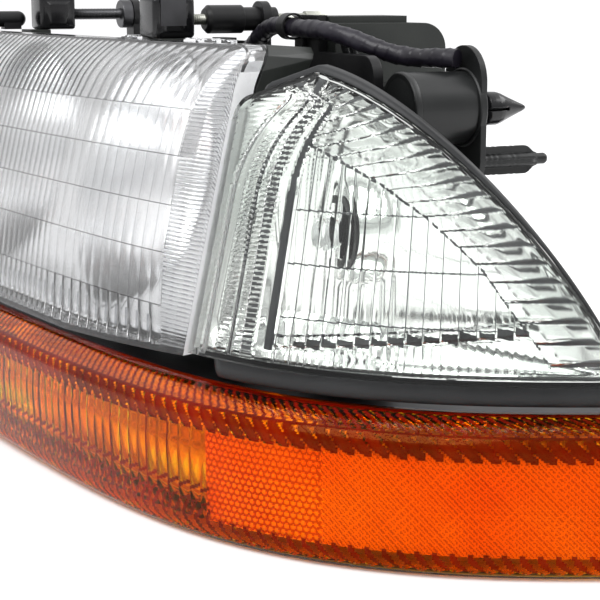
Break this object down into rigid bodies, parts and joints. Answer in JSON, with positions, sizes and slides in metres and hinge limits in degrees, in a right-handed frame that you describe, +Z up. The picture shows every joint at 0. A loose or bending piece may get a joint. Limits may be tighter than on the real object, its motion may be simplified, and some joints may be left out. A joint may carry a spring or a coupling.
{
  "type": "car headlight assembly",
  "caption": "Wrap-round car headlamp with a clear finned corner lamp above an amber turn-signal lens, on a bracketed carrier with aiming screws.",
  "frame": {"origin": "middle of the round land of the conical locating pin on the side bracket", "axes": "+Y rearwards along the locating pin, +X outboard along the lamp's width, +Z up"},
  "size_m": [0.5431, 0.2581, 0.24],
  "materials": {
    "black_moulding": "fine satin texture",
    "grey_moulding": "satin, slightly greenish",
    "clear_lens": "polished clear plastic with moulded flutes",
    "amber_lens": "polished transparent amber with moulded optics",
    "bright_reflector": "vacuum metallised",
    "zinc_steel": "bright zinc plate",
    "rubber_seal": "soft, matt",
    "bulb_glass": "clear quartz glass on a black base",
    "amber_bulb": "amber-coated glass",
    "shield_metal": "blued steel",
    "acetal": "natural white",
    "tape_wrap": "spiral-wrapped cloth tape"
  },
  "bodies": {
    "carrier": {"mounting_panel": "black_moulding", "carrier_arm": "grey_moulding", "side_bracket": "black_moulding", "locating_pin": "black_moulding", "pin_clip": "shield_metal", "locating_post": "black_moulding", "bolt_sleeve_inboard": "zinc_steel", "bolt_sleeve_outboard": "zinc_steel", "bolt_sleeve_lower": "zinc_steel", "side_nut": "black_moulding", "height_nut": "black_moulding", "pivot_stud": "zinc_steel", "corner_housing": "black_moulding", "corner_reflector": "bright_reflector", "corner_lens": "clear_lens", "corner_gasket": "rubber_seal", "corner_screw_upper": "zinc_steel", "corner_screw_lower": "zinc_steel", "signal_housing": "black_moulding", "signal_reflector": "bright_reflector", "signal_lens": "amber_lens", "reflex_insert": "amber_lens", "signal_gasket": "rubber_seal", "signal_screw_inboard": "zinc_steel", "signal_screw_outboard": "zinc_steel", "wiring_harness": "tape_wrap", "corner_lead": "black_moulding", "signal_lead": "black_moulding", "harness_clip": "black_moulding", "harness_connector": "black_moulding"},
    "aim_swivel": {"pivot_cap": "acetal"},
    "headlamp": {"headlamp_housing": "grey_moulding", "headlamp_seal": "rubber_seal", "headlamp_lens": "clear_lens", "headlamp_bezel": "bright_reflector", "low_reflector": "bright_reflector", "high_reflector": "bright_reflector", "low_bulb": "bulb_glass", "high_bulb": "bulb_glass", "low_shield": "shield_metal", "high_shield": "shield_metal", "low_o_ring": "rubber_seal", "high_o_ring": "rubber_seal", "vent_tube": "black_moulding", "pivot_block": "black_moulding", "side_block": "black_moulding", "side_block_clip": "zinc_steel", "height_block": "black_moulding"},
    "side_slider": {"side_cap": "acetal"},
    "side_aim_screw": {"side_screw": "zinc_steel"},
    "height_slider": {"height_cap": "acetal"},
    "height_aim_screw": {"height_screw": "zinc_steel"},
    "low_beam_ring": {"low_ring": "black_moulding"},
    "high_beam_ring": {"high_ring": "black_moulding"},
    "corner_bulb_socket": {"corner_socket": "black_moulding", "corner_bulb": "bulb_glass"},
    "signal_bulb_socket": {"signal_socket": "black_moulding", "signal_bulb": "amber_bulb"},
    "marker_bulb_socket": {"marker_socket": "black_moulding", "marker_bulb": "amber_bulb"}
  },
  "joints": [
    {"name": "aim_sideways", "type": "hinge", "parent": "carrier", "child": "aim_swivel", "pos_m": [-0.36, -0.1065, 0.04], "axis": [0, 0, 1], "range_deg": [-1.2, 1.2]},
    {"name": "aim_height", "type": "hinge", "parent": "aim_swivel", "child": "headlamp", "pos_m": [-0.36, -0.1065, 0.04], "axis": [1, 0, 0], "range_deg": [-1.5, 1.5]},
    {"name": "side_screw_travel", "type": "slide", "parent": "carrier", "child": "side_slider", "axis": [0, 1, 0], "range_m": [-0.0045, 0.0045]},
    {"name": "side_screw_turn", "type": "hinge", "parent": "side_slider", "child": "side_aim_screw", "pos_m": [-0.15, -0.1065, 0.04], "axis": [0, 1, 0], "range_deg": [-1600, 1600]},
    {"name": "height_screw_travel", "type": "slide", "parent": "carrier", "child": "height_slider", "axis": [0, 1, 0], "range_m": [-0.0037, 0.0037]},
    {"name": "height_screw_turn", "type": "hinge", "parent": "height_slider", "child": "height_aim_screw", "pos_m": [-0.36, -0.1065, -0.095], "axis": [0, 1, 0], "range_deg": [-1300, 1300]},
    {"name": "low_ring_twist", "type": "hinge", "parent": "headlamp", "child": "low_beam_ring", "pos_m": [-0.134, -0.0295, -0.042], "axis": [0, 1, 0], "range_deg": [0, 45]},
    {"name": "high_ring_twist", "type": "hinge", "parent": "headlamp", "child": "high_beam_ring", "pos_m": [-0.288, -0.0295, -0.042], "axis": [0, 1, 0], "range_deg": [0, 45]},
    {"name": "corner_socket_twist", "type": "hinge", "parent": "carrier", "child": "corner_bulb_socket", "pos_m": [0.017, -0.0545, -0.052], "axis": [0, 1, 0], "range_deg": [0, 45]},
    {"name": "signal_socket_twist", "type": "hinge", "parent": "carrier", "child": "signal_bulb_socket", "pos_m": [-0.259, -0.1405, -0.152], "axis": [0, 1, 0], "range_deg": [0, 45]},
    {"name": "marker_socket_twist", "type": "hinge", "parent": "carrier", "child": "marker_bulb_socket", "pos_m": [0.031, -0.0545, -0.152], "axis": [0, 1, 0], "range_deg": [0, 45]}
  ],
  "couplings": [
    {"joint": "side_screw_travel", "follows": "aim_sideways", "m_per_rad": 0.21},
    {"joint": "side_screw_turn", "follows": "aim_sideways", "ratio": 1319.5},
    {"joint": "height_screw_travel", "follows": "aim_height", "m_per_rad": 0.135},
    {"joint": "height_screw_turn", "follows": "aim_height", "ratio": 848.23}
  ]
}
